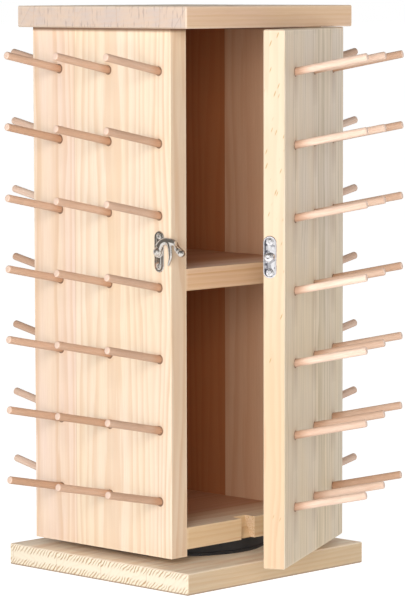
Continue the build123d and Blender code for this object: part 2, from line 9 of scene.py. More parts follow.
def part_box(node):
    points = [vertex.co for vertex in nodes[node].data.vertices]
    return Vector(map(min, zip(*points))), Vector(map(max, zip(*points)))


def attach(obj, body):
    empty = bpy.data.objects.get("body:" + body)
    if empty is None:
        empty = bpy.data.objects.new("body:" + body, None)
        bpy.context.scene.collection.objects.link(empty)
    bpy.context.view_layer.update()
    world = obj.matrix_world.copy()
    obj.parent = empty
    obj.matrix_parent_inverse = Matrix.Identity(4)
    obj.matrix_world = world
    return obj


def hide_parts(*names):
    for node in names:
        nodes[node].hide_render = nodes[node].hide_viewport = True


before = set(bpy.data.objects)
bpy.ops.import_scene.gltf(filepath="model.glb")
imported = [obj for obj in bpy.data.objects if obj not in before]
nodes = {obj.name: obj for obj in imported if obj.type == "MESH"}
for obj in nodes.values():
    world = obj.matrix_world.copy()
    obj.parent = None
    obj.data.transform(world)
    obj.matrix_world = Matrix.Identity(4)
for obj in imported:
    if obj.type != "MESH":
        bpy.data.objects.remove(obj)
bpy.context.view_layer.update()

MM = 0.001
random.seed(8)

# ---------------------------------------------------------------- sizes, mm and degrees
BODY_HALF = 91.0
INNER = 73.0
BOARD_T = 18.0
TOP_Z = 459.0
BOTTOM_TOP_Z = 48.0
PANEL_Z = 24.0
PITCH = 59.0
TOP_ROW_Z = 424.5
ROWS = 7
COLUMNS = 3
PEG_R = 3.25
PEG_REACH = 61.0
PEG_SEAT = 12.0
PEG_TILT = 11.5
PEG_RIM = 1.3
PEG_SIDES = 32
# how much the rounded pegs stay inside the CAD's, in length and in radius
PEG_SHORTER = 0.06
PEG_THINNER = 0.03
DOOR_OPEN = 27.0
HINGE_X = 93.35
HINGE_Y = -73.0
DOOR_FRONT_Y = -91.5
LATCH_Y = -60.0
LATCH_Z = 277.0
CATCH_Y = -79.0
PLATE_OUT = BODY_HALF + 1.0
LATCH_SCREW_LEVELS = (LATCH_Z - 12.5, LATCH_Z + 12.5)
HINGE_SCREW_LEVELS = (87.0, 113.0, 382.0, 408.0)
CABINET_SCREW_Y = -64.0
DOOR_SCREW_Y = -82.0

# ---------------------------------------------------------------- light levels
PAPER_GREY = 0.4
VEIL_GREY = 0.45
FLOOR_GLOW = 0.93
FLOOR_BOUNCE = 0.55
SKY_LEVELS = (0.45, 0.16)
KEY_POWER = 68.0
FILL_POWER = 9.0


# ---------------------------------------------------------------- node helpers
FACE_STEP = (0.6, 0.8)


class Graph:
    """Places nodes in one tree. A value is a number, a tuple or another node's output."""

    def __init__(self, tree):
        self.tree = tree

    def put(self, socket, value):
        if isinstance(value, bpy.types.NodeSocket):
            self.tree.links.new(value, socket)
        else:
            socket.default_value = value

    def node(self, kind, values=None, **settings):
        made = self.tree.nodes.new(kind)
        for name, value in settings.items():
            setattr(made, name, value)
        for key, value in (values or {}).items():
            self.put(made.inputs[key], value)
        return made

    def math(self, operation, first, second=0.0, clamp=False):
        values = {0: first, 1: second}
        return self.node("ShaderNodeMath", values, operation=operation, use_clamp=clamp).outputs[0]

    def plus(self, first, second):
        return self.math("ADD", first, second)

    def minus(self, first, second):
        return self.math("SUBTRACT", first, second)

    def times(self, *factors):
        product = factors[0]
        for factor in factors[1:]:
            product = self.math("MULTIPLY", product, factor)
        return product

    def vector(self, operation, first, second=(0.0, 0.0, 0.0)):
        made = self.node("ShaderNodeVectorMath", {0: first, 1: second}, operation=operation)
        return made.outputs["Value" if operation == "LENGTH" else "Vector"]

    def scaled(self, vector, *scale):
        return self.vector("MULTIPLY", vector, scale)

    def spread(self, value, low, high, to_low=0.0, to_high=1.0):
        """A smooth step from one value to another between two thresholds."""
        ends = {"From Min": low, "From Max": high, "To Min": to_low, "To Max": to_high}
        values = {"Value": value, **ends}
        made = self.node("ShaderNodeMapRange", values, interpolation_type="SMOOTHSTEP")
        return made.outputs["Result"]

    def dice(self, number):
        """A random value and colour for a whole number."""
        return self.node("ShaderNodeTexWhiteNoise", {"W": number}, noise_dimensions="1D").outputs

    def noise(self, vector, scale=1.0, detail=2.0, roughness=0.5):
        values = {"Vector": vector, "Scale": scale, "Detail": detail, "Roughness": roughness}
        return self.node("ShaderNodeTexNoise", values).outputs["Fac"]

    def mix(self, factor, first, second, blend="MIX"):
        made = self.node("ShaderNodeMix", data_type="RGBA", blend_type=blend)
        for index, value in ((0, factor), (6, first), (7, second)):
            self.put(made.inputs[index], value)
        return made.outputs[2]

    def split(self, vector):
        return self.node("ShaderNodeSeparateXYZ", {0: vector}).outputs

    def join(self, x=0.0, y=0.0, z=0.0):
        return self.node("ShaderNodeCombineXYZ", {0: x, 1: y, 2: z}).outputs[0]

    def tint(self, amount, colour, tone):
        """The colour, darkened by a tone that multiplies it."""
        return self.mix(amount, colour, self.mix(1.0, colour, tone, "MULTIPLY"))

    def faces_along(self, normal, axis):
        """1 on the faces of a board that look along an axis, to either side."""
        return self.spread(self.math("ABSOLUTE", self.split(normal)[axis]), *FACE_STEP)

    def object_mm(self):
        scale = 1 / MM
        return self.scaled(self.node("ShaderNodeTexCoord").outputs["Object"], scale, scale, scale)

    def shut_door(self, place):
        """A place on the door, turned back to where it lies when the door is shut."""
        angle = math.radians(-DOOR_OPEN)
        turn = {"Vector": place, "Center": (HINGE_X, HINGE_Y, 0.0), "Angle": angle}
        return self.node("ShaderNodeVectorRotate", turn, rotation_type="Z_AXIS").outputs[0]

    def seen_rays(self):
        """1 on the rays that see the background: the camera's and those of mirrors and glass."""
        path = self.node("ShaderNodeLightPath").outputs
        mirrored = self.plus(path["Is Glossy Ray"], path["Is Transmission Ray"])
        return self.math("ADD", path["Is Camera Ray"], mirrored, clamp=True)

    def place(self, group, values):
        made = self.tree.nodes.new("ShaderNodeGroup")
        made.node_tree = group
        for name, value in values.items():
            self.put(made.inputs[name], value)
        return made.outputs


SOCKETS = {"value": "NodeSocketFloat", "vector": "NodeSocketVector"}


def new_group(name, inputs, outputs):
    """An empty shader group with named sockets, as (graph, what it is given, what it puts out)."""
    tree = bpy.data.node_groups.new(name, "ShaderNodeTree")
    for label, (kind, default) in inputs.items():
        socket = tree.interface.new_socket(name=label, in_out="INPUT", socket_type=SOCKETS[kind])
        socket.default_value = default
    for label, kind in outputs.items():
        tree.interface.new_socket(name=label, in_out="OUTPUT", socket_type=SOCKETS[kind])
    graph = Graph(tree)
    return graph, graph.node("NodeGroupInput").outputs, graph.node("NodeGroupOutput").inputs


def srgb(red, green, blue):
    """A colour given as it looks on screen, 0 to 255, as the linear colour that a shader wants."""
    linear = []
    for part in (red, green, blue):
        share = part / 255
        linear.append(share / 12.92 if share <= 0.04045 else ((share + 0.055) / 1.055) ** 2.4)
    return (*linear, 1.0)


# ---------------------------------------------------------------- shared effects
# growth rings, mm: how far they sway and ripple, and how deep below the face the pith lies
RING_SWAY = 26.0
RING_RIPPLE = 3.4
PITH_DEPTH = 26.0
PITH_DEEPER = 46.0


def make_pine_figure():
    """Growth rings of an edge-glued pine board.

    The vector is in mm: x along the grain, y across the staves. The staves and the rings of
    each get their own random numbers.
    """
    g, given, out = new_group(
        "pine_figure",
        {
            "Vector": ("vector", (0, 0, 0)),
            "Stave Width": ("value", 55.0),
            "Stave Shift": ("value", 0.0),
            "Ring Spacing": ("value", 4.0),
            "Pith Spread": ("value", 150.0),
            "Seed": ("value", 0.0),
        },
        {"Latewood": "value", "Stave": "value", "Fibre": "value", "Joint": "value"},
    )
    x, y, z = g.split(given["Vector"])
    across = g.plus(g.math("DIVIDE", y, given["Stave Width"]), given["Stave Shift"])
    index = g.math("FLOOR", across)
    share = g.minus(across, index)
    first, second, third = g.split(g.dice(g.plus(index, given["Seed"]))["Color"])
    seeded = g.vector("ADD", given["Vector"], g.join(g.times(first, 900.0), 0.0, given["Seed"]))
    slow = g.noise(g.scaled(seeded, 0.0035, 0.028, 0.028), 1.0, 2.0, 0.45)
    quick = g.noise(g.scaled(seeded, 0.012, 0.22, 0.22), 1.0, 2.0, 0.5)
    sway = g.times(g.minus(slow, 0.5), RING_SWAY)
    ripple = g.times(g.minus(quick, 0.5), RING_RIPPLE)
    local = g.times(g.minus(share, 0.5), given["Stave Width"])
    pith_y = g.times(g.minus(first, 0.5), given["Pith Spread"])
    pith_z = g.plus(g.times(second, PITH_DEEPER), PITH_DEPTH)
    off_y = g.plus(g.minus(local, pith_y), sway)
    off_z = g.plus(z, pith_z)
    radius = g.math("SQRT", g.plus(g.math("POWER", off_y, 2.0), g.math("POWER", off_z, 2.0)))
    turns = g.math("DIVIDE", g.plus(radius, ripple), given["Ring Spacing"])
    phase = g.math("FRACT", turns)
    rise = g.spread(phase, 0.25, 0.82)
    drop = g.spread(phase, 0.86, 1.0, 1.0, 0.0)
    year = g.dice(g.math("FLOOR", turns))["Value"]
    strength = g.plus(g.times(year, 0.7), 0.3)
    g.put(out["Latewood"], g.times(rise, drop, strength))
    g.put(out["Stave"], third)
    fine = g.noise(g.scaled(seeded, 0.03, 1.1, 1.1), 1.0, 3.0, 0.6)
    finer = g.noise(g.scaled(seeded, 0.09, 4.2, 4.2), 1.0, 2.0, 0.6)
    g.put(out["Fibre"], g.plus(g.times(fine, 0.6), g.times(finer, 0.4)))
    edge = g.times(g.math("MINIMUM", share, g.minus(1.0, share)), given["Stave Width"])
    g.put(out["Joint"], g.spread(edge, 0.15, 0.7, 1.0, 0.0))
    return g.tree


def make_arris():
    """How near a point lies to an edge of a box board: 1 on the edge, 0 inside. Sizes in mm."""
    g, given, out = new_group(
        "arris",
        {
            "Vector": ("vector", (0, 0, 0)),
            "Centre": ("vector", (0, 0, 0)),
            "Half Size": ("vector", (1, 1, 1)),
            "Width": ("value", 2.0),
        },
        {"Edge": "value"},
    )
    inside = g.vector("ABSOLUTE", g.vector("SUBTRACT", given["Vector"], given["Centre"]))
    x, y, z = g.split(g.vector("SUBTRACT", given["Half Size"], inside))
    low = g.math("MINIMUM", x, g.math("MINIMUM", y, z))
    high = g.math("MAXIMUM", x, g.math("MAXIMUM", y, z))
    total = g.plus(x, g.plus(y, z))
    middle = g.minus(g.minus(total, low), high)
    ragged = g.noise(given["Vector"], 0.35, 3.0, 0.6)
    reach = g.times(given["Width"], g.plus(ragged, 0.4))
    g.put(out["Edge"], g.spread(g.math("DIVIDE", middle, reach), 0.35, 1.0, 1.0, 0.0))
    return g.tree


# marks round a peg's hole, mm from its centre: handling, the painted shade in the gap at the rim,
# and the painted shadow below
MARK_REACH = (3.4, 9.0)
RIM_SHADE_REACH = (3.7, 4.15)
SHADE_HALF_W = 14.0
SHADE_FADE = (-38.0, -3.0)


def make_peg_rings():
    """Marks round the peg holes of a face: handling, the painted shadow below and the painted shade
    in the gap at the rim. Sizes in mm.
    """
    g, given, out = new_group(
        "peg_rings",
        {
            "Across": ("value", 0.0),
            "Height": ("value", 0.0),
            "Rim Shift": ("vector", (0.0, 0.0, 0.0)),
        },
        {"Mark": "value", "Below": "value", "Rim": "value"},
    )
    parts = []
    for value in (given["Across"], g.minus(given["Height"], TOP_ROW_Z)):
        holes = g.math("DIVIDE", value, PITCH)
        parts.append(g.times(g.minus(holes, g.math("ROUND", holes)), PITCH))
    sideways, upward = parts
    from_hole = g.join(sideways, upward, 0.0)
    distance = g.vector("LENGTH", from_hole)
    g.put(out["Mark"], g.spread(distance, *MARK_REACH, 1.0, 0.0))
    rim = g.vector("LENGTH", g.vector("SUBTRACT", from_hole, given["Rim Shift"]))
    g.put(out["Rim"], g.spread(rim, *RIM_SHADE_REACH, 1.0, 0.0))
    column = g.spread(g.math("ABSOLUTE", sideways), 0.0, SHADE_HALF_W, 1.0, 0.0)
    drop = g.times(g.spread(upward, *SHADE_FADE), g.spread(upward, -2.5, 1.0, 1.0, 0.0))
    g.put(out["Below"], g.times(column, drop))
    return g.tree


def make_indoor_shade():
    """How much painted shade the wood inside the compartments gets: it rises with the depth, and is
    0 outside. Sizes in mm.
    """
    g, given, out = new_group(
        "indoor_shade",
        {
            "Vector": ("vector", (0, 0, 0)),
            "Half": ("value", INNER + 0.4),
            "Depth": ("value", 60.0),
        },
        {"Inside": "value"},
    )
    x, y, z = g.split(given["Vector"])
    flush = g.math("LESS_THAN", g.math("ABSOLUTE", x), given["Half"])
    behind = g.math("LESS_THAN", y, given["Half"])
    deep = g.spread(g.plus(y, given["Half"]), 1.5, given["Depth"])
    low = g.math("GREATER_THAN", z, BOTTOM_TOP_Z - 0.2)
    high = g.math("LESS_THAN", z, TOP_Z + 0.2)
    g.put(out["Inside"], g.times(flush, behind, deep, low, high))
    return g.tree


STROKE_PITCH = 3.8
STROKE_SLANT = 0.9
STROKE_WANDER = 9.0


def make_saw_strokes():
    """Slanting strokes of a saw on end grain, in two rows.

    Across runs along the face and the height up from its foot, in mm.
    """
    g, given, out = new_group(
        "saw_strokes",
        {"Across": ("value", 0.0), "Height": ("value", 0.0)},
        {"Stroke": "value"},
    )
    wander = g.noise(g.join(given["Across"], given["Height"], 0.0), 0.08, 2.0, 0.5)
    leaned = g.plus(given["Across"], g.times(given["Height"], STROKE_SLANT))
    leaned = g.plus(leaned, g.times(wander, STROKE_WANDER))
    turns = g.math("DIVIDE", leaned, STROKE_PITCH)
    index = g.math("FLOOR", turns)
    phase = g.minus(turns, index)
    line = g.times(g.spread(phase, 0.14, 0.36), g.spread(phase, 0.5, 0.74, 1.0, 0.0))
    dice = g.dice(index)["Value"]
    low = g.spread(given["Height"], g.plus(3.0, g.times(dice, 3.0)), 7.5, 1.0, 0.0)
    high = g.spread(given["Height"], 10.5, g.minus(15.0, g.times(dice, 3.0)))
    rows = g.math("MAXIMUM", low, high)
    level = g.plus(0.6, g.times(dice, 0.4))
    g.put(out["Stroke"], g.times(line, rows, level))
    return g.tree


def make_fleck():
    """Short dark dashes, as resin canals make on a cut along the grain. The vector is in mm."""
    g, given, out = new_group(
        "fleck",
        {"Vector": ("vector", (0, 0, 0)), "Share": ("value", 0.3)},
        {"Fleck": "value"},
    )
    stretched = {"Vector": g.scaled(given["Vector"], 0.11, 0.55, 0.55), "Scale": 1.0}
    cells = g.node("ShaderNodeTexVoronoi", stretched, feature="F1").outputs
    spot = g.spread(cells["Distance"], 0.18, 0.38, 1.0, 0.0)
    chosen = g.math("LESS_THAN", g.split(cells["Color"])[0], given["Share"])
    g.put(out["Fleck"], g.times(spot, chosen))
    return g.tree


pine_figure = make_pine_figure()
arris = make_arris()
peg_rings = make_peg_rings()
indoor_shade = make_indoor_shade()
saw_strokes = make_saw_strokes()
fleck = make_fleck()


# ---------------------------------------------------------------- materials
def bare_graph(owner):
    """The emptied node tree of a material or a world."""
    owner.use_nodes = True
    owner.node_tree.nodes.clear()
    return Graph(owner.node_tree)


def new_material(name):
    made = bpy.data.materials.new(name)
    g = bare_graph(made)
    shader = g.node("ShaderNodeBsdfPrincipled")
    g.node("ShaderNodeOutputMaterial", {0: shader.outputs[0]})
    return made, g, shader


def bump(g, shader, height, distance, strength=0.5):
    """Feeds a height, in parts of the distance in mm, to the shader's normal."""
    values = {"Height": height, "Distance": distance * MM, "Strength": strength}
    g.put(shader.inputs["Normal"], g.node("ShaderNodeBump", values).outputs[0])


CREAM = srgb(242, 227, 206)
BLUSH = srgb(239, 214, 199)
STRAW = srgb(242, 219, 184)
LATE = srgb(218, 178, 138)
GREY_WOOD = srgb(231, 219, 206)
GLUE_LINE = srgb(186, 148, 110)
ARRIS_HIGHLIGHT = srgb(250, 234, 208)
PEG_HANDLING = srgb(205, 165, 125)
PEG_SHADE = srgb(150, 122, 100)
HOLE_RIM_SHADE = srgb(104, 70, 48)
WHITE = (1, 1, 1, 1)
ARRIS_W = 2.6
# tones that multiply a colour
INDOOR_SHADE = (0.62, 0.42, 0.32, 1)
FIBRE_SHADE = (0.62, 0.5, 0.4, 1)
PORE_SHADE = (0.55, 0.42, 0.33, 1)


def pine_material(
    name,
    order,
    box,
    stave=55.0,
    shift=0.0,
    spacing=4.0,
    seed=0.0,
    pale=CREAM,
    warm=BLUSH,
    late=LATE,
    end_grain=srgb(222, 196, 164),
    side_tint_and_shade=WHITE,
    end_rings=0.5,
    late_amount=0.55,
    pith_spread=150.0,
    pegs=None,
    door=False,
    extra=None,
):
    """Pine for one board.

    The order is that of the object's axes along the grain, across it and through the board.
    The box is the board's low and high end on each axis, with the door shut.
    The pegs are (axis across the pegs, axis out of the face, its sign, shift of the painted shade
    at the rim).
    The extra adds what only this board has to the colour.
    """
    made, g, shader = new_material(name)
    place = g.object_mm()
    if door:
        place = g.shut_door(place)
    facing = g.node("ShaderNodeTexCoord").outputs["Normal"]
    axes = g.split(place)
    board = g.join(*[axes[i] for i in order])
    figure = g.place(
        pine_figure,
        {
            "Vector": board,
            "Stave Width": stave,
            "Stave Shift": shift,
            "Ring Spacing": spacing,
            "Pith Spread": pith_spread,
            "Seed": seed,
        },
    )
    centre = [(a + b) / 2 for a, b in box]
    half = [(b - a) / 2 for a, b in box]
    corners = {"Vector": place, "Centre": centre, "Half Size": half, "Width": ARRIS_W}
    edge = g.place(arris, corners)["Edge"]
    blotch = g.noise(g.scaled(board, 0.006, 0.02, 0.02), 1.0, 3.0, 0.55)

    colour = g.mix(g.spread(figure["Stave"], 0.2, 0.9), pale, warm)
    colour = g.mix(g.spread(blotch, 0.35, 0.7, 0.0, 0.45), colour, STRAW)
    fibre = g.spread(figure["Fibre"], 0.35, 0.65)
    ring = g.times(figure["Latewood"], g.plus(g.times(fibre, 0.5), 0.6))
    colour = g.mix(g.times(ring, late_amount), colour, late)
    colour = g.mix(0.16, colour, g.mix(fibre, FIBRE_SHADE, WHITE), "MULTIPLY")
    grain_end = g.mix(g.times(ring, end_rings), end_grain, late)
    # the faces across the staves take side_tint_and_shade: painted shade on the top, base, shelf
    # and bottom boards, a plain tint on the door's edges
    colour = g.tint(g.faces_along(facing, order[1]), colour, side_tint_and_shade)
    colour = g.mix(g.faces_along(facing, order[0]), colour, grain_end)
    colour = g.mix(g.times(figure["Joint"], 0.3), colour, GLUE_LINE)
    # painted highlight along the board's edges
    colour = g.mix(g.times(edge, 0.18), colour, ARRIS_HIGHLIGHT)
    if pegs is not None:
        across, outward, sign, rim_shade_shift = pegs
        outside = g.math("GREATER_THAN", g.times(axes[outward], sign), BODY_HALF - 1.2)
        seat = {"Across": axes[across], "Height": axes[2], "Rim Shift": rim_shade_shift}
        holes = g.place(peg_rings, seat)
        # handling marks, the painted shadow below each peg and the painted shade in the gap at its
        # rim
        for part, amount, tone in (
            ("Mark", 0.22, PEG_HANDLING),
            ("Below", 0.36 if door else 0.1, PEG_SHADE),
            ("Rim", 0.8, HOLE_RIM_SHADE),
        ):
            colour = g.mix(g.times(holes[part], outside, amount), colour, tone)
    if extra:
        colour = extra(g, place, board, facing, colour)
    if not door:
        # painted shade on the wood inside the compartments
        colour = g.tint(g.place(indoor_shade, {"Vector": place})["Inside"], colour, INDOOR_SHADE)
    g.put(shader.inputs["Base Color"], colour)
    rough = g.plus(g.times(figure["Fibre"], 0.18), 0.5)
    g.put(shader.inputs["Roughness"], g.minus(rough, g.times(edge, 0.06)))
    shader.inputs["Specular IOR Level"].default_value = 0.35
    height = g.plus(g.times(ring, 0.45), g.times(figure["Fibre"], 0.7))
    bump(g, shader, height, 0.12, 0.5)
    return made


PEG_BROWN = srgb(186, 146, 117)
PEG_ROOT_SHADE = srgb(178, 128, 92)
PEG_END = srgb(232, 204, 186)
HOLLOW_SHADE = srgb(74, 72, 84)


def dowel_material(name, light, dark):
    """Turned birch. The pieces carry their own coordinates in mm: x along the rod."""
    made, g, shader = new_material(name)
    coords = g.node("ShaderNodeAttribute", attribute_name="rod_coords").outputs["Vector"]
    tone = g.node("ShaderNodeAttribute", attribute_name="rod_tone").outputs["Fac"]
    streak = g.noise(g.scaled(coords, 0.05, 0.8, 0.8), 1.0, 3.0, 0.55)
    fine = g.noise(g.scaled(coords, 0.22, 5.0, 5.0), 1.0, 2.0, 0.6)
    colour = g.mix(g.spread(streak, 0.3, 0.7), light, dark)
    colour = g.mix(g.times(tone, 0.88), colour, PEG_BROWN)
    reach = g.node("ShaderNodeAttribute", attribute_name="rod_reach").outputs["Fac"]
    # painted shade on the peg's root, where it meets the board
    colour = g.mix(g.spread(reach, 1.0, 16.0, 0.6, 0.0), colour, PEG_ROOT_SHADE)
    colour = g.mix(g.spread(reach, PEG_REACH - 1.0, PEG_REACH - 0.3), colour, PEG_END)
    pores = g.mix(g.spread(fine, 0.35, 0.6), PORE_SHADE, WHITE)
    colour = g.mix(0.2, colour, pores, "MULTIPLY")
    g.put(shader.inputs["Base Color"], colour)
    g.put(shader.inputs["Roughness"], g.plus(g.times(fine, 0.2), 0.42))
    shader.inputs["Specular IOR Level"].default_value = 0.4
    bump(g, shader, fine, 0.08, 0.4)
    return made


def metal_material(name, colour, roughness, smudge=0.12, waves=0.05, hollow=None):
    """Plated metal with faint handling marks. The waves, in mm, are those of a casting's skin.

    hollow is (x of the rim, x of the floor, y where its painted dark side starts), on the shut
    door's edge.
    """
    made, g, shader = new_material(name)
    place = g.object_mm()
    cloud = g.noise(place, 0.5, 4.0, 0.6)
    scratch = g.noise(g.scaled(place, 9.0, 0.9, 0.9), 1.0, 2.0, 0.6)
    dulled = tuple(0.86 * c for c in colour[:3]) + (1,)
    plated = g.mix(g.spread(cloud, 0.35, 0.7), colour, dulled)
    if hollow:
        # painted shade and dark reflections in the hollow, darkest on one side
        rim, floor_x, shaded_y = hollow
        x, y, z = g.split(g.shut_door(place))
        deep = g.spread(x, rim, floor_x)
        dapple = g.noise(place, 0.24, 1.0, 0.4)
        side = g.spread(y, shaded_y, shaded_y + 1.6, 0.0, 0.95)
        side = g.times(side, g.spread(dapple, 0.4, 0.5, 0.35, 1.0))
        patch = g.math("MAXIMUM", side, g.spread(dapple, 0.52, 0.58, 0.02, 0.5))
        plated = g.mix(g.times(deep, patch), plated, HOLLOW_SHADE)
    g.put(shader.inputs["Base Color"], plated)
    g.put(shader.inputs["Roughness"], g.plus(g.times(cloud, smudge), roughness))
    shader.inputs["Metallic"].default_value = 1.0
    wave = g.noise(place, 0.22, 1.0, 0.4)
    height = g.plus(g.times(wave, waves), g.times(scratch, 0.006))
    bump(g, shader, height, 1.0, 1.0)
    return made


def plastic_material(name, colour, roughness):
    """Moulded plastic with a fine sand texture."""
    made, g, shader = new_material(name)
    place = g.object_mm()
    sand = g.noise(place, 2.6, 3.0, 0.6)
    cloud = g.noise(place, 0.06, 3.0, 0.6)
    pale = tuple(min(1.0, 1.5 * c + 0.01) for c in colour[:3]) + (1,)
    g.put(shader.inputs["Base Color"], g.mix(g.spread(cloud, 0.35, 0.75, 0.0, 0.6), colour, pale))
    g.put(shader.inputs["Roughness"], g.plus(g.times(sand, 0.22), roughness))
    bump(g, shader, sand, 0.05, 0.4)
    return made


def span(node):
    """The low and high end of a board on each axis, in mm."""
    low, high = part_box(node)
    return [(low[i] / MM, high[i] / MM) for i in range(3)]


# ---------------------------------------------------------------- what only one board has
TOP_SHADE = srgb(116, 82, 58)
PORE = srgb(196, 152, 104)
END_CLOUD = srgb(222, 196, 172)
END_CHECK = srgb(158, 132, 124)
END_FOOT_SHADOW = srgb(138, 108, 90)
SAW_STROKE = srgb(182, 146, 104)
BASE_TOP_LIGHT = srgb(255, 242, 220)
BASE_STREAK = srgb(216, 170, 130)
BASE_FOOT_SHADOW = srgb(136, 106, 80)
FREE_EDGE = srgb(231, 204, 178)
FLECK = srgb(186, 158, 112)
FLECK_LEAN = 20
REAR_STAVE_SHADE = (0.68, 0.42, 0.26, 1)
LOW_FACE_TONE = (1.0, 0.98, 0.86, 1)
LOW_EDGE_TONE = (1.0, 0.88, 0.77, 1)


def under_top(g, place, board, facing, colour):
    """The painted shadow line where an upright board meets the top board, under its overhang."""
    z = g.split(place)[2]
    return g.mix(g.spread(z, TOP_Z - 4.0, TOP_Z - 1.0, 0.0, 0.85), colour, TOP_SHADE)


def rear_stave_shade(g, place, board, facing, colour):
    """The right panel's rear stave gets painted shade inside the cabinet, darker and redder, where
    the left panel's front edge shades it.
    """
    x, y, z = g.split(place)
    rear = g.times(g.spread(y, 23.2, 24.4), g.math("LESS_THAN", x, INNER + 1.0))
    lined = under_top(g, place, board, facing, colour)
    # painted shade behind the shadow edge of the left panel
    return g.mix(rear, lined, g.mix(1.0, colour, REAR_STAVE_SHADE, "MULTIPLY"))


def speckled_end(g, place, board, facing, colour):
    """Open pores on the end grain in the finger notch."""
    pores = g.spread(g.noise(place, 1.1, 2.0, 0.6), 0.5, 0.66)
    return g.mix(g.times(g.faces_along(facing, 0), pores), colour, PORE)


def checked_end(g, place, board, facing, colour):
    """Fine upright checks on the end grain of the top board, and a painted shadow line along the
    foot of its ends.
    """
    x, y, z = g.split(place)
    upright = g.join(g.times(y, 0.55), g.times(z, 0.06), 0.0)
    leaning = g.join(g.plus(g.times(y, 0.3), g.times(z, 0.24)), 7.0, 0.0)
    crack = g.spread(g.noise(upright, 1.0, 3.0, 0.6), 0.56, 0.68)
    bent = g.spread(g.noise(leaning, 1.0, 2.0, 0.6), 0.6, 0.7)
    lines = g.math("MAXIMUM", crack, g.times(bent, 0.7))
    end = g.faces_along(facing, 0)
    cloud = g.spread(g.noise(place, 0.05, 2.0, 0.5), 0.35, 0.65)
    colour = g.mix(g.times(end, cloud, 0.5), colour, END_CLOUD)
    colour = g.mix(g.times(lines, end, 0.6), colour, END_CHECK)
    # painted shadow line along the foot of the end faces
    foot = g.spread(z, TOP_Z + 0.3, TOP_Z + 1.5, 0.6, 0.0)
    return g.mix(g.times(foot, end), colour, END_FOOT_SHADOW)


def saw_cut_end(g, place, board, facing, colour):
    """The base board's left end keeps the marks of the saw. Its top face is painted lighter for the
    light on it and gets brown streaks, and its foot gets a painted contact shadow.
    """
    x, y, z = g.split(place)
    stroke = g.place(saw_strokes, {"Across": y, "Height": z})["Stroke"]
    colour = g.mix(g.times(stroke, g.faces_along(facing, 0), 0.95), colour, SAW_STROKE)
    top = g.spread(g.split(facing)[2], *FACE_STEP)
    # painted light on the base board's top face
    colour = g.mix(g.times(top, 0.85), colour, BASE_TOP_LIGHT)
    streak = g.noise(g.scaled(board, 0.012, 0.11, 0.11), 1.0, 3.0, 0.6)
    colour = g.mix(g.times(top, g.spread(streak, 0.42, 0.62, 0.0, 0.35)), colour, BASE_STREAK)
    # painted contact shadow along the foot of the base board
    return g.mix(g.spread(z, 0.8, 2.0, 0.75, 0.0), colour, BASE_FOOT_SHADOW)


def flecked_edge(g, place, board, facing, colour):
    """Short dark flecks on the door's free edge, cut along the grain, more of them near the top."""
    x, y, z = g.split(place)
    lean = math.radians(FLECK_LEAN)
    along = g.minus(g.times(z, math.cos(lean)), g.times(y, math.sin(lean)))
    aside = g.plus(g.times(z, math.sin(lean)), g.times(y, math.cos(lean)))
    share = g.spread(z, 200.0, 420.0, 0.03, 0.28)
    spot = g.place(fleck, {"Vector": g.join(along, aside, x), "Share": share})["Fleck"]
    free = g.spread(x, 0.4 - BODY_HALF, 0.1 - BODY_HALF)
    colour = g.mix(g.times(free, g.spread(z, 40.0, 160.0, 0.5, 0.65)), colour, FREE_EDGE)
    low_face = g.times(g.minus(1.0, free), g.spread(z, 340.0, 200.0, 0.0, 0.5))
    colour = g.tint(low_face, colour, LOW_FACE_TONE)
    colour = g.tint(g.times(free, g.spread(z, 330.0, 150.0), 0.8), colour, LOW_EDGE_TONE)
    return g.mix(g.times(free, spot, 0.85), colour, FLECK)


# ---------------------------------------------------------------- the looks of the pieces
def dress(material, slot, *names):
    """Gives pieces of the CAD part their look."""
    for name in names:
        nodes[name].data.materials.clear()
        nodes[name].data.materials.append(material)


# which object axis runs along the grain, across the staves and through the board
UPRIGHT_SIDE = (2, 1, 0)
UPRIGHT_FRONT = (2, 0, 1)
LEVEL = (0, 1, 2)
DOOR_BOX = [
    (-BODY_HALF, BODY_HALF),
    (DOOR_FRONT_Y, DOOR_FRONT_Y + BOARD_T),
    (PANEL_Z, TOP_Z - 0.5),
]

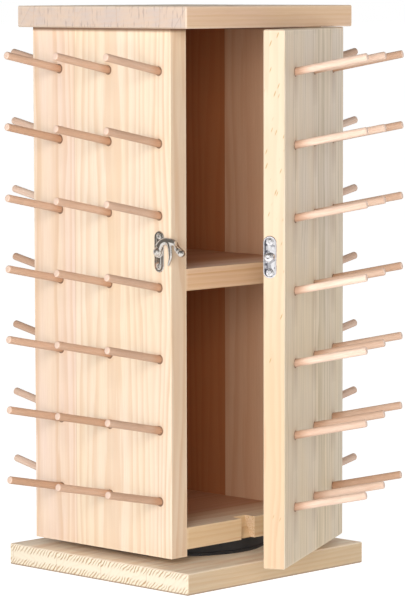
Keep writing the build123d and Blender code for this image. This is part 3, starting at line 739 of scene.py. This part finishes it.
# the side tones of the top, base, shelf and bottom boards are painted shade on their front and back
# faces
board_looks = {
    "left_panel": pine_material(
        "left_panel_pine", UPRIGHT_SIDE, span("left_panel"),
        stave=113.0, shift=0.646, spacing=4.7, seed=3.0, pith_spread=40.0, late_amount=0.6,
        pale=BLUSH, warm=srgb(243, 224, 203), pegs=(1, 0, -1.0, (-0.55, -0.2, 0.0)),
        extra=under_top,
    ),
    "right_panel": pine_material(
        "right_panel_pine", UPRIGHT_SIDE, span("right_panel"),
        stave=64.0, shift=0.625, spacing=4.0, seed=11.0,
        pegs=(1, 0, 1.0, (0.3, -0.2, 0.0)), extra=rear_stave_shade,
    ),
    "back_panel": pine_material(
        "back_panel_pine", UPRIGHT_FRONT, span("back_panel"),
        stave=58.0, shift=0.3, spacing=3.8, seed=17.0,
        pegs=(0, 1, 1.0, (0.3, -0.2, 0.0)), extra=under_top,
    ),
    "door_panel": pine_material(
        "door_panel_pine", UPRIGHT_FRONT, DOOR_BOX,
        stave=61.0, shift=0.1, spacing=3.1, seed=29.0, side_tint_and_shade=(1.0, 0.965, 0.93, 1),
        pale=GREY_WOOD, warm=srgb(226, 210, 192), late=srgb(186, 168, 136), late_amount=0.75,
        pegs=(0, 1, -1.0, (-0.45, -0.25, 0.0)), door=True, extra=flecked_edge,
    ),
    "top_board": pine_material(
        "top_board_pine", LEVEL, span("top_board"),
        stave=50.0, shift=0.4, spacing=4.0, seed=41.0, late_amount=0.4,
        end_grain=srgb(207, 190, 180), end_rings=0.25, side_tint_and_shade=(0.78, 0.7, 0.59, 1),
        extra=checked_end,
    ),
    "base_board": pine_material(
        "base_board_pine", LEVEL, span("base_board"),
        stave=54.0, shift=0.1, spacing=4.2, seed=53.0, late_amount=0.32,
        end_grain=srgb(238, 227, 206), end_rings=0.16, side_tint_and_shade=(0.72, 0.65, 0.54, 1),
        extra=saw_cut_end,
    ),
    "middle_shelf": pine_material(
        "shelf_pine", LEVEL, span("middle_shelf"),
        stave=49.0, shift=0.5, spacing=4.4, seed=61.0, late_amount=0.8,
        side_tint_and_shade=(0.92, 0.8, 0.62, 1),
    ),
    "bottom_board": pine_material(
        "bottom_board_pine", LEVEL, span("bottom_board"),
        stave=49.0, shift=0.5, spacing=4.0, seed=71.0,
        side_tint_and_shade=(0.88, 0.77, 0.6, 1), extra=speckled_end,
    ),
}
for board_name, look in board_looks.items():
    dress(look, "pine_board", board_name)

peg_wood = dowel_material("peg_birch", srgb(250, 228, 211), srgb(238, 207, 188))
bright_nickel = metal_material("bright_nickel", srgb(218, 213, 207), 0.07, 0.08, 0.1)
# x of the hollow's rim and floor, and y where its painted shade starts
CATCH_HOLLOW = (-91.85, -91.6, -78.4)
catch_nickel = metal_material("catch_nickel", srgb(240, 238, 240), 0.05, 0.06, 0.04, CATCH_HOLLOW)
hinge_nickel = metal_material("hinge_nickel", srgb(206, 203, 198), 0.24)
zinc_steel = metal_material("zinc_steel", srgb(196, 199, 203), 0.3)
turntable_black = plastic_material("turntable_black", (0.012, 0.013, 0.016, 1), 0.42)
cage_plastic = plastic_material("cage_plastic", (0.5, 0.5, 0.47, 1), 0.45)


# ---------------------------------------------------------------- mesh helpers
def add_object(name, data):
    made = bpy.data.objects.new(name, data)
    bpy.context.scene.collection.objects.link(made)
    return made


def finish_mesh(mesh, name, material, body, replaced):
    """Turns a bmesh into a piece that rides on a body and stands in for a node of the CAD part."""
    bmesh.ops.recalc_face_normals(mesh, faces=mesh.faces)
    data = bpy.data.meshes.new(name)
    mesh.to_mesh(data)
    mesh.free()
    data.materials.append(material)
    made = add_object(name, data)
    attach(made, body)
    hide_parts(replaced)
    return made


def skin(mesh, rings):
    """Joins rings of points into one closed skin, smooth along its length."""
    for lower, upper in zip(rings, rings[1:]):
        for k in range(len(lower)):
            other = (k + 1) % len(lower)
            mesh.faces.new((lower[k], lower[other], upper[other], upper[k])).smooth = True
    mesh.faces.new(rings[0][::-1])
    mesh.faces.new(rings[-1])


def arc_profile(size, height, degrees, steps):
    """The outline of a cap (90 degrees) or a ball (180), from its top down, as (radius, height)."""
    turns = [math.radians(degrees) * i / steps for i in range(steps + 1)]
    return [(size * math.sin(turn), height * math.cos(turn)) for turn in turns]


# ---------------------------------------------------------------- pegs
def rod(mesh, start, along, length, radius, tone, layers, shift):
    """Adds a round rod with a softened far end to a bmesh, with its own wood coordinates."""
    side = along.orthogonal().normalized()
    other = along.cross(side)
    neck = length - PEG_RIM
    profile = [(length * i / 6, radius) for i in range(6)] + [(neck, radius)]
    for out, turned_in in arc_profile(PEG_RIM, PEG_RIM, 90, 4)[1:]:
        profile.append((neck + out, radius - PEG_RIM + turned_in))
    rings = []
    coords_layer, tone_layer, reach_layer = layers
    for reach, size in profile:
        ring = []
        for k in range(PEG_SIDES):
            turn = 2 * math.pi * k / PEG_SIDES
            offset = side * math.cos(turn) * size + other * math.sin(turn) * size
            vertex = mesh.verts.new((start + along * reach + offset) * MM)
            vertex[coords_layer] = (
                reach + shift, size * math.cos(turn) + shift, size * math.sin(turn)
            )
            vertex[tone_layer] = tone
            vertex[reach_layer] = reach - PEG_SEAT
            ring.append(vertex)
        rings.append(ring)
    skin(mesh, rings)


def peg_set(side_name, face_point, outward, body, tones):
    """The pegs of one face as one piece.

    The tones are the lightest and the brownest of each column, 0 to 1.
    """
    up = Vector((0, 0, 1))
    tilt = math.radians(PEG_TILT)
    lean = outward * math.cos(tilt) + up * math.sin(tilt)
    length = PEG_SEAT + PEG_REACH - PEG_SHORTER
    mesh = bmesh.new()
    layers = (
        mesh.verts.layers.float_vector.new("rod_coords"),
        mesh.verts.layers.float.new("rod_tone"),
        mesh.verts.layers.float.new("rod_reach"),
    )
    for row in range(ROWS):
        for column in range(COLUMNS):
            across = (column - (COLUMNS - 1) / 2) * PITCH
            root = face_point + up.cross(outward) * across + up * (TOP_ROW_Z - row * PITCH)
            rod(
                mesh, root - lean * PEG_SEAT, lean, length, PEG_R - PEG_THINNER,
                random.uniform(*tones[column]), layers, random.uniform(0, 900),
            )
    finish_mesh(mesh, f"{side_name}_peg_rods", peg_wood, body, f"{side_name}_pegs")


swing = (
    Matrix.Translation((HINGE_X, HINGE_Y, 0))
    @ Matrix.Rotation(math.radians(DOOR_OPEN), 4, "Z")
    @ Matrix.Translation((-HINGE_X, -HINGE_Y, 0))
)
door_face = swing @ Vector((0, DOOR_FRONT_Y, 0))
door_out = swing.to_3x3() @ Vector((0, -1, 0))
for side_name, point, outward, body, tones in (
    ("left", (-BODY_HALF, 0, 0), (-1, 0, 0), "cabinet", [(0.75, 1.0)] * 3),
    ("right", (BODY_HALF, 0, 0), (1, 0, 0), "cabinet", [(0.3, 0.9)] * 3),
    ("back", (0, BODY_HALF, 0), (0, 1, 0), "cabinet", [(0.3, 0.9)] * 3),
    ("door", door_face, door_out, "door", [(0.0, 0.45), (0.2, 0.7), (0.6, 1.0)]),
):
    peg_set(side_name, Vector(point), Vector(outward), body, tones)


# ---------------------------------------------------------------- screws, rivet and post
LEFT, RIGHT = -1, 1
# head radius, height of its dome, shank radius and length
LATCH_SCREW = (2.35, 0.48, 1.15, 9.9)
HINGE_SCREW = (2.75, 0.0, 1.3, 12.9)


def side_place(way, out, y, z, on_door=False, turn=0.0):
    """A place on the left or right of the cabinet or the shut door, local z out of the wood."""
    quarter = Matrix.Rotation(math.radians(90 * way), 4, "Y")
    made = Matrix.Translation((way * out, y, z)) @ quarter @ Matrix.Rotation(turn, 4, "Z")
    return swing @ made if on_door else made


def turned(mesh, profile, place, sides=48, sunk=None):
    """Adds a piece turned about the local z axis.

    The profile runs from the top's centre down, as (radius, height). The sunk function gives
    the depth of a recess at a point of the head.
    """
    rings = []
    for size, level in profile:
        ring = []
        for k in range(sides if size > 0 else 1):
            turn = 2 * math.pi * k / sides
            x, y = size * math.cos(turn), size * math.sin(turn)
            drop = sunk(x, y) if sunk else 0.0
            ring.append(mesh.verts.new((place @ Vector((x, y, level - drop))) * MM))
        rings.append(ring)
    for upper, lower in zip(rings, rings[1:]):
        for k in range(sides):
            below = [lower[i % len(lower)] for i in (k, k + 1)]
            above = [upper[i % len(upper)] for i in (k + 1, k)]
            corners = list(dict.fromkeys(below + above))
            if len(corners) > 2:
                mesh.faces.new(corners).smooth = True


def cross_recess(head_r):
    """The depth of a driver's cross at a point of the head."""
    arm, width, depth = 0.66 * head_r, 0.17 * head_r, 0.32 * head_r

    def ramp(size, reach, slope):
        return max(0.0, min(1.0, (reach - abs(size)) / (slope * reach)))

    def bar(along, across):
        return ramp(along, arm, 0.3) * ramp(across, width, 0.45)

    return lambda x, y: depth * max(bar(x, y), bar(y, x))


def screw_profile(head_r, dome, shank_r, length, rings=18):
    top = [(head_r * i / rings, dome * (1 - (i / rings) ** 2)) for i in range(rings + 1)]
    return top + [(shank_r, shank_r - head_r), (shank_r, -length + shank_r), (0.0, -length)]


for name, way, y, levels, screw, material, body, slot, replaced in (
    (
        "latch_cross_screws", LEFT, LATCH_Y, LATCH_SCREW_LEVELS, LATCH_SCREW,
        bright_nickel, "cabinet", "bright_nickel", "latch_screws",
    ),
    (
        "catch_cross_screws", LEFT, CATCH_Y, LATCH_SCREW_LEVELS, LATCH_SCREW,
        catch_nickel, "door", "bright_nickel", "catch_screws",
    ),
    (
        "cabinet_hinge_cross_screws", RIGHT, CABINET_SCREW_Y, HINGE_SCREW_LEVELS, HINGE_SCREW,
        hinge_nickel, "cabinet", "hinge_nickel", "cabinet_hinge_screws",
    ),
    (
        "door_hinge_cross_screws", RIGHT, DOOR_SCREW_Y, HINGE_SCREW_LEVELS, HINGE_SCREW,
        hinge_nickel, "door", "hinge_nickel", "door_hinge_screws",
    ),
):
    mesh = bmesh.new()
    for z in levels:
        place = side_place(way, PLATE_OUT, y, z, body == "door", random.uniform(0, 1.5))
        turned(mesh, screw_profile(*screw), place, 56, cross_recess(screw[0]))
    finish_mesh(mesh, name, material, body, replaced)

RIVET_SEAT = 3.76
RIVET_DOME = [(r, RIVET_SEAT + h) for r, h in arc_profile(3.35, 1.75, 90, 14)]
RIVET_SHANK = [(1.5, RIVET_SEAT), (1.5, 0.05), (0.0, 0.05)]
POST_HEAD = [
    (0.0, 4.6), (0.5, 4.68), (0.95, 5.04), (1.5, 5.07), (2.3, 4.98), (2.85, 4.7),
    (3.2, 4.38), (3.36, 4.12), (3.3, 4.0), (1.5, 4.0), (1.5, 0.05), (0.0, 0.05),
]

mesh = bmesh.new()
turned(mesh, RIVET_DOME + RIVET_SHANK, side_place(LEFT, BODY_HALF, LATCH_Y, LATCH_Z))
finish_mesh(mesh, "latch_dome_rivet", bright_nickel, "cabinet", "latch_rivet")

mesh = bmesh.new()
turned(mesh, POST_HEAD, side_place(LEFT, BODY_HALF, CATCH_Y, LATCH_Z, True))
finish_mesh(mesh, "catch_head_post", catch_nickel, "door", "catch_post")


def cast_edges(piece, voxel, passes):
    """Rounds a piece's edges as a casting's are, by modifiers alone."""
    remesh = piece.modifiers.new("even_skin", "REMESH")
    remesh.mode = "VOXEL"
    remesh.voxel_size = voxel * MM
    remesh.use_smooth_shade = True
    soft = piece.modifiers.new("soft_edges", "SMOOTH")
    soft.factor = 0.5
    soft.iterations = passes
    light = piece.modifiers.new("lighter_skin", "DECIMATE")
    light.ratio = 0.3


# ---------------------------------------------------------------- latch hook
def on_latch(u, v, out):
    """A point from the hook's pivot: u towards the door, v up, and out from the wood."""
    return Vector((-BODY_HALF - out, LATCH_Y - u, LATCH_Z + v))


def between(t, a, b, c, d):
    """A point between b and c on the smooth curve through a, b, c and d, for t from 0 to 1."""
    bend = (2 * a - 5 * b + 4 * c - d) * t**2 + (3 * b - a - 3 * c + d) * t**3
    return 0.5 * (2 * b + (c - a) * t + bend)


def limb(mesh, stations, blunt=0.6, steps=6, sides=28):
    """Adds a round bar, curved smoothly through its stations, with blunt ends.

    A station is (u, v, out, half width, half depth).
    """
    last = len(stations) - 1
    rows = []
    for i in range(last):
        four = [stations[max(0, min(last, i + k))] for k in (-1, 0, 1, 2)]
        for step in range(steps + (i == last - 1)):
            rows.append([between(step / steps, *values) for values in zip(*four)])
    points = [on_latch(*row[:3]) for row in rows]
    sections = []
    for i, row in enumerate(rows):
        along = (points[min(i + 1, len(rows) - 1)] - points[max(i - 1, 0)]).normalized()
        side = along.cross(Vector((-1, 0, 0))).normalized()
        sections.append((points[i], along, side * row[3], side.cross(along) * row[4]))
    caps = [(math.sin(a), math.cos(a)) for a in (math.radians(18 * k) for k in range(1, 5))]
    ends = []
    for (point, along, side, lift), way in ((sections[0], -1), (sections[-1], 1)):
        reach = along * blunt * lift.length * way
        ends.append([(point + reach * out, along, side * size, lift * size) for out, size in caps])
    turns = [2 * math.pi * k / sides for k in range(sides)]
    rings = []
    for point, along, side, lift in ends[0][::-1] + sections + ends[1]:
        spots = [point + side * math.cos(turn) + lift * math.sin(turn) for turn in turns]
        rings.append([mesh.verts.new(spot * MM) for spot in spots])
    skin(mesh, rings)


# the middle of the hook's casting, out from the wood, and half its thickness
HOOK_MID = 2.72
HOOK_DEPTH = 0.98
# stations of the arch and the claw, as (u, v, half width)
HOOK_ARCH = [
    (1.14, 3.64, 3.9), (3.64, 6.59, 3.4), (6.82, 8.6, 3.0), (10.0, 9.3, 2.9), (13.64, 9.05, 2.95),
    (16.82, 9.05, 2.85), (20.0, 8.2, 2.6), (22.4, 5.95, 1.95), (22.6, 4.5, 1.7),
]
HOOK_CLAW = [
    (10.4, 8.9, 2.2), (12.8, 8.0, 2.5), (14.3, 5.2, 2.35), (14.8, 2.4, 2.1), (15.1, -0.4, 1.95),
    (15.1, -3.2, 1.8), (14.5, -5.9, 1.4), (13.6, -8.4, 1.0), (12.8, -10.3, 0.6),
]
# stations of the lever, as (u, v, out, half width, half depth)
HOOK_LEVER = [
    (20.45, 8.18, 2.7, 2.2, 1.0), (22.95, 7.55, 3.7, 2.05, 1.5), (24.6, 6.25, 5.2, 2.25, 2.1),
    (26.3, 5.0, 6.5, 2.5, 2.5), (28.3, 3.6, 7.3, 2.75, 2.75), (30.6, 2.3, 7.66, 3.0, 3.0),
]
HOOK_BALL = on_latch(32.7, 0.9, 7.9)
BALL_R = 3.3
HOOK_EYE = [
    (1.65, 3.6), (3.3, 3.7), (3.95, 3.45), (4.28, 2.95), (4.28, 2.3), (3.9, 1.76), (1.65, 1.76),
    (1.65, 3.6),
]

mesh = bmesh.new()
limb(mesh, [(u, v, HOOK_MID, half, HOOK_DEPTH) for u, v, half in HOOK_ARCH])
limb(mesh, [(u, v, HOOK_MID, half, min(HOOK_DEPTH, 1.2 * half)) for u, v, half in HOOK_CLAW])
limb(mesh, HOOK_LEVER, blunt=0.12)
ball = arc_profile(BALL_R, BALL_R, 180, 24)[:-1] + [(0.0, -BALL_R)]
turned(mesh, ball, Matrix.Translation(HOOK_BALL))
turned(mesh, HOOK_EYE, side_place(LEFT, BODY_HALF, LATCH_Y, LATCH_Z))
hook = finish_mesh(
    mesh, "horn_latch_hook", bright_nickel, "hook", "latch_hook"
)
cast_edges(hook, voxel=0.13, passes=10)
cast_edges(nodes["latch_plate"], voxel=0.16, passes=8)


# ---------------------------------------------------------------- catch plate
CATCH_HALF_W, CATCH_HALF_L = 5.6, 17.1
CATCH_OFF_CENTRE = 0.2
# how far in from the outline, and how far out from the wood
CATCH_PROFILE = [(0.0, 0.05), (0.0, 0.6), (0.45, 1.0), (1.15, 1.0), (1.35, 0.4)]
CATCH_BOSS = [(0.0, 1.0), (2.5, 1.0), (3.0, 0.85), (3.3, 0.3), (0.0, 0.3)]


def slot_loop(inset, steps=20):
    """Points round a slot shape, as (across, along)."""
    radius, straight = CATCH_HALF_W - inset, CATCH_HALF_L - CATCH_HALF_W
    turns = [math.pi * k / steps for k in range(steps + 1)]
    upper = [(radius * math.cos(t), straight + radius * math.sin(t)) for t in turns]
    return upper + [(-x, -y) for x, y in upper]


mesh = bmesh.new()
catch_place = side_place(LEFT, BODY_HALF, CATCH_Y - CATCH_OFF_CENTRE, LATCH_Z, True)
loops = []
for inset, level in CATCH_PROFILE:
    spots = [catch_place @ Vector((along, across, level)) for across, along in slot_loop(inset)]
    loops.append([mesh.verts.new(spot * MM) for spot in spots])
skin(mesh, loops)
for z in (LATCH_SCREW_LEVELS[0], LATCH_Z, LATCH_SCREW_LEVELS[1]):
    turned(mesh, CATCH_BOSS, side_place(LEFT, BODY_HALF, CATCH_Y, z, True))
catch = finish_mesh(
    mesh, "hollow_catch_plate", catch_nickel, "door", "catch_plate"
)
cast_edges(catch, voxel=0.13, passes=4)

# ---------------------------------------------------------------- pieces that the CAD shapes
dress(
    zinc_steel, "zinc_steel", "turntable_lower_screws", "turntable_upper_screws",
    "turntable_rivet", "turntable_balls",
)
dress(turntable_black, "turntable_black", "turntable_lower_plate", "turntable_upper_plate")
dress(cage_plastic, "cage_plastic", "turntable_ball_cage")
dress(
    hinge_nickel, "hinge_nickel", "upper_hinge_cabinet_leaf", "lower_hinge_cabinet_leaf",
    "upper_hinge_door_leaf", "lower_hinge_door_leaf", "hinge_pins",
)
dress(bright_nickel, "bright_nickel", "latch_plate")
dress(
    board_looks["middle_shelf"], "dowel_wood", "shelf_dowels", "bottom_dowels", "top_dowels",
    "back_dowels",
)


# ---------------------------------------------------------------- floor and background
def flat_sheet(name, width, height):
    """A rectangle in its own XY plane."""
    data = bpy.data.meshes.new(name)
    signs = ((-1, -1), (1, -1), (1, 1), (-1, 1))
    data.from_pydata([(x * width / 2, y * height / 2, 0) for x, y in signs], [], [(0, 1, 2, 3)])
    return data


FLOOR_SIZE = 60.0
FLOOR_DROP = 0.0004

floor = add_object("floor", flat_sheet("floor", FLOOR_SIZE, FLOOR_SIZE))
floor.location.z = -FLOOR_DROP

floor_look = bpy.data.materials.new("floor_paper")
g = bare_graph(floor_look)
paper = g.node("ShaderNodeBsdfDiffuse", {"Color": (PAPER_GREY, PAPER_GREY, PAPER_GREY, 1)})
bounce = g.node("ShaderNodeEmission", {"Color": (1, 0.99, 0.97, 1), "Strength": FLOOR_BOUNCE})
veil = g.node("ShaderNodeBsdfDiffuse", {"Color": (VEIL_GREY, VEIL_GREY, VEIL_GREY, 1)})
glow = g.node("ShaderNodeEmission", {"Color": WHITE, "Strength": FLOOR_GLOW})
plain = g.node("ShaderNodeAddShader", {0: paper.outputs[0], 1: bounce.outputs[0]})
lit = g.node("ShaderNodeAddShader", {0: veil.outputs[0], 1: glow.outputs[0]})
shaders = {0: g.seen_rays(), 1: plain.outputs[0], 2: lit.outputs[0]}
g.node("ShaderNodeOutputMaterial", {0: g.node("ShaderNodeMixShader", shaders).outputs[0]})
floor.data.materials.append(floor_look)

world = bpy.data.worlds.new("studio")
bpy.context.scene.world = world
g = bare_graph(world)
seen = g.seen_rays()
height = g.split(g.node("ShaderNodeTexCoord").outputs["Generated"])[2]
ambient = g.spread(height, 0.0, 0.8, *SKY_LEVELS)
strength = g.plus(seen, g.times(g.minus(1.0, seen), ambient))
sky = g.node("ShaderNodeBackground", {"Color": WHITE, "Strength": strength})
g.node("ShaderNodeOutputWorld", {0: sky.outputs[0]})


# ---------------------------------------------------------------- lamps and cards
CABINET_MIDDLE = Vector((0, 0, 0.24))
LATCH_LEVEL = Vector((0, 0, 0.277))


def stand_off(piece, toward, distance, aim):
    """Puts a lamp or a card in a direction from the cabinet, looking back at a point of it."""
    back = Vector(toward).normalized()
    piece.location = aim + back * distance
    piece.rotation_mode = "QUATERNION"
    piece.rotation_quaternion = back.to_track_quat("Z", "Y")


def lamp(name, toward, distance, size, power, colour):
    """A square soft lamp that reflections don't see."""
    data = bpy.data.lights.new(name, "AREA")
    data.shape = "SQUARE"
    data.size = size
    data.energy = power
    data.color = colour
    made = add_object(name, data)
    stand_off(made, toward, distance, CABINET_MIDDLE)
    made.visible_glossy = False


def dark_card(name, toward, distance, width, height, shade):
    """A card that only the metal's reflections see."""
    look = bpy.data.materials.new(name)
    graph = bare_graph(look)
    glow = graph.node("ShaderNodeEmission", {"Color": (*shade, 1), "Strength": 1.0})
    graph.node("ShaderNodeOutputMaterial", {0: glow.outputs[0]})
    made = add_object(name, flat_sheet(name, width, height))
    made.data.materials.append(look)
    stand_off(made, toward, distance, LATCH_LEVEL)
    made.visible_camera = made.visible_diffuse = False
    made.visible_shadow = made.visible_transmission = False


dark_card("ceiling_card", (-0.25, -0.1, 1.0), 1.3, 3.2, 3.2, (0.16, 0.15, 0.14))
dark_card("side_card", (-1.0, 0.85, 0.12), 1.6, 1.0, 1.5, (0.2, 0.185, 0.165))
dark_card("door_side_card", (-0.2, -1.0, 0.1), 1.6, 0.5, 1.5, (0.12, 0.1, 0.08))
dark_card("camera_card", (-0.72, -0.7, 0.1), 1.4, 0.26, 1.3, (0.22, 0.205, 0.185))
dark_card("front_card", (-0.98, -0.06, 0.1), 1.6, 0.1, 0.9, (0.04, 0.04, 0.05))
dark_card("front_strip", (-0.97, -0.38, 0.1), 1.5, 0.12, 1.2, (0.02, 0.02, 0.03))

lamp("key", (-0.82, -0.57, 0.12), 2.4, 1.7, KEY_POWER, (1.0, 0.99, 0.975))
lamp("fill", (0.88, -0.6, 0.32), 2.4, 1.0, FILL_POWER, (0.93, 0.97, 1.0))

# ---------------------------------------------------------------- camera
# the photo's height and the focal length, in pixels
FRAME_H = 600
FOCAL_PX = 3230.5
SENSOR_MM = 36.0
CAMERA_AT = (-1.9493, -1.9243, 0.4929)
YAW, PITCH_DOWN, ROLL = (math.radians(turn) for turn in (45.67, 5.546, -0.123))

camera = add_object("camera", bpy.data.cameras.new("camera"))
bpy.context.scene.camera = camera
camera.data.sensor_width = SENSOR_MM
camera.data.lens = FOCAL_PX * SENSOR_MM / FRAME_H
camera.data.clip_start = 0.05
camera.data.clip_end = 100.0
camera.location = CAMERA_AT
level = Vector((math.sin(YAW), math.cos(YAW), 0))
ahead = level * math.cos(PITCH_DOWN) - Vector((0, 0, math.sin(PITCH_DOWN)))
rolled = Matrix.Rotation(ROLL, 4, "Z").to_quaternion()
camera.rotation_mode = "QUATERNION"
camera.rotation_quaternion = ahead.to_track_quat("-Z", "Y") @ rolled

bpy.context.scene.view_settings.view_transform = "Standard"
